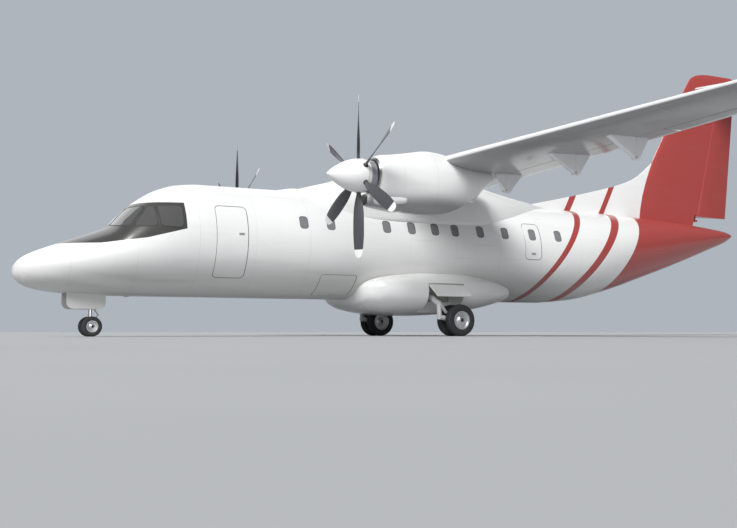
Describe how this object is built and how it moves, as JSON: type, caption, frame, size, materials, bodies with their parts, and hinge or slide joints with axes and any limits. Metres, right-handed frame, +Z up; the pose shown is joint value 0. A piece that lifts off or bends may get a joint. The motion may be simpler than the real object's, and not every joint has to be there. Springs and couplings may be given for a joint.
{
  "type": "regional airliner",
  "caption": "High-wing turboprop regional airliner with a cross-shaped tail, parked on its landing gear, with turning propellers and wheels, working flight surfaces and opening doors.",
  "frame": {"origin": "on the ground under the centre of the bounding box", "axes": "+Z up, -Y forward along the nose, +X towards the port side"},
  "size_m": [27.5, 25.1648, 9.1],
  "materials": {
    "white_paint": "gloss",
    "red_paint": "gloss",
    "gear_steel": "satin",
    "wheel_alloy": "satin",
    "engine_block": "matt",
    "tyre_rubber": "matt",
    "blade_composite": "satin",
    "cockpit_glass": "gloss"
  },
  "bodies": {
    "airframe": {"nose_radome": "white_paint", "forward_fuselage": "white_paint", "cockpit_glazing": "cockpit_glass", "centre_fuselage": "white_paint", "aft_fuselage": "white_paint", "tail_cone": "red_paint", "gear_fairing": "white_paint", "wing_fairing": "white_paint", "rear_exit_L": "white_paint", "rear_exit_R": "white_paint", "wing_centre": "white_paint", "wing_outer_L": "white_paint", "wing_outer_R": "white_paint", "wing_tip_L": "white_paint", "wing_tip_R": "white_paint", "nacelle_L": "white_paint", "nacelle_R": "white_paint", "engine_L": "engine_block", "engine_R": "engine_block", "dorsal_fin": "white_paint", "fin": "red_paint", "fin_cap": "red_paint", "stabiliser": "white_paint", "nose_gear_leg": "gear_steel", "nose_gear_door_L": "white_paint", "nose_gear_door_R": "white_paint", "main_gear_leg_L": "gear_steel", "main_gear_leg_R": "gear_steel", "main_gear_door_L": "white_paint", "main_gear_door_R": "white_paint"},
    "propeller_L": {"propeller_L": "blade_composite"},
    "propeller_R": {"propeller_R": "blade_composite"},
    "nose_steering": {"nose_gear_fork": "gear_steel"},
    "nose_wheels": {"nose_wheel_hub": "wheel_alloy", "nose_wheel_tyre_L": "tyre_rubber", "nose_wheel_tyre_R": "tyre_rubber"},
    "main_wheels_L": {"main_wheel_L_hub": "wheel_alloy", "main_wheel_L_tyre_inner": "tyre_rubber", "main_wheel_L_tyre_outer": "tyre_rubber"},
    "main_wheels_R": {"main_wheel_R_hub": "wheel_alloy", "main_wheel_R_tyre_inner": "tyre_rubber", "main_wheel_R_tyre_outer": "tyre_rubber"},
    "passenger_door": {"passenger_door": "white_paint"},
    "cargo_hatch": {"cargo_hatch": "white_paint"},
    "flaps_L": {"flap_inboard_L": "white_paint", "flap_outboard_L": "white_paint"},
    "flaps_R": {"flap_inboard_R": "white_paint", "flap_outboard_R": "white_paint"},
    "aileron_L": {"aileron_L": "white_paint"},
    "aileron_R": {"aileron_R": "white_paint"},
    "rudder": {"rudder": "red_paint"},
    "elevators": {"elevator_L": "white_paint", "elevator_R": "white_paint"}
  },
  "joints": [
    {"name": "propeller_spin_L", "type": "hinge", "parent": "airframe", "child": "propeller_L", "pos_m": [3.94, -5.2376, 3.9], "axis": [0, 1, 0], "continuous": true},
    {"name": "propeller_spin_R", "type": "hinge", "parent": "airframe", "child": "propeller_R", "pos_m": [-3.94, -5.2376, 3.9], "axis": [0, 1, 0], "continuous": true},
    {"name": "nose_steer", "type": "hinge", "parent": "airframe", "child": "nose_steering", "pos_m": [0, -10.6876, 0.8], "axis": [0, 0, 1], "range_deg": [-60, 60]},
    {"name": "nose_wheels_roll", "type": "hinge", "parent": "nose_steering", "child": "nose_wheels", "pos_m": [0, -10.6876, 0.25], "axis": [1, 0, 0], "continuous": true},
    {"name": "main_wheels_roll_L", "type": "hinge", "parent": "airframe", "child": "main_wheels_L", "pos_m": [2.2, -1.2876, 0.43], "axis": [1, 0, 0], "continuous": true},
    {"name": "main_wheels_roll_R", "type": "hinge", "parent": "airframe", "child": "main_wheels_R", "pos_m": [-2.2, -1.2876, 0.43], "axis": [1, 0, 0], "continuous": true},
    {"name": "passenger_door_open", "type": "hinge", "parent": "airframe", "child": "passenger_door", "pos_m": [1.07888, -7.4976, 1.49012], "axis": [0, 1, 0], "range_deg": [0, 118]},
    {"name": "cargo_hatch_open", "type": "hinge", "parent": "airframe", "child": "cargo_hatch", "pos_m": [1.202, -4.3376, 1.63903], "axis": [0, -1, 0], "range_deg": [0, 100]},
    {"name": "flaps_down_L", "type": "hinge", "parent": "airframe", "child": "flaps_L", "pos_m": [1, -0.66444, 3.7617], "axis": [-0.9972, 0.0729, -0.0167], "range_deg": [0, 30]},
    {"name": "flaps_down_R", "type": "hinge", "parent": "airframe", "child": "flaps_R", "pos_m": [-1, -0.66444, 3.7617], "axis": [-0.9972, -0.0729, 0.0167], "range_deg": [0, 30]},
    {"name": "aileron_turn_L", "type": "hinge", "parent": "airframe", "child": "aileron_L", "pos_m": [10.2, -1.25202, 4.43256], "axis": [0.9967, -0.0797, 0.0144], "range_deg": [-20, 20]},
    {"name": "aileron_turn_R", "type": "hinge", "parent": "airframe", "child": "aileron_R", "pos_m": [-10.2, -1.25202, 4.43256], "axis": [-0.9967, -0.0797, 0.0144], "range_deg": [-20, 20]},
    {"name": "rudder_turn", "type": "hinge", "parent": "airframe", "child": "rudder", "pos_m": [0, 10.0424, 4.06], "axis": [0, 0.2627, 0.9649], "range_deg": [-25, 25]},
    {"name": "elevator_turn", "type": "hinge", "parent": "airframe", "child": "elevators", "pos_m": [0, 11.8824, 8.514], "axis": [1, 0, 0], "range_deg": [-20, 25]}
  ],
  "couplings": [
    {"joint": "flaps_down_R", "follows": "flaps_down_L", "ratio": 1},
    {"joint": "aileron_turn_R", "follows": "aileron_turn_L", "ratio": 1}
  ]
}
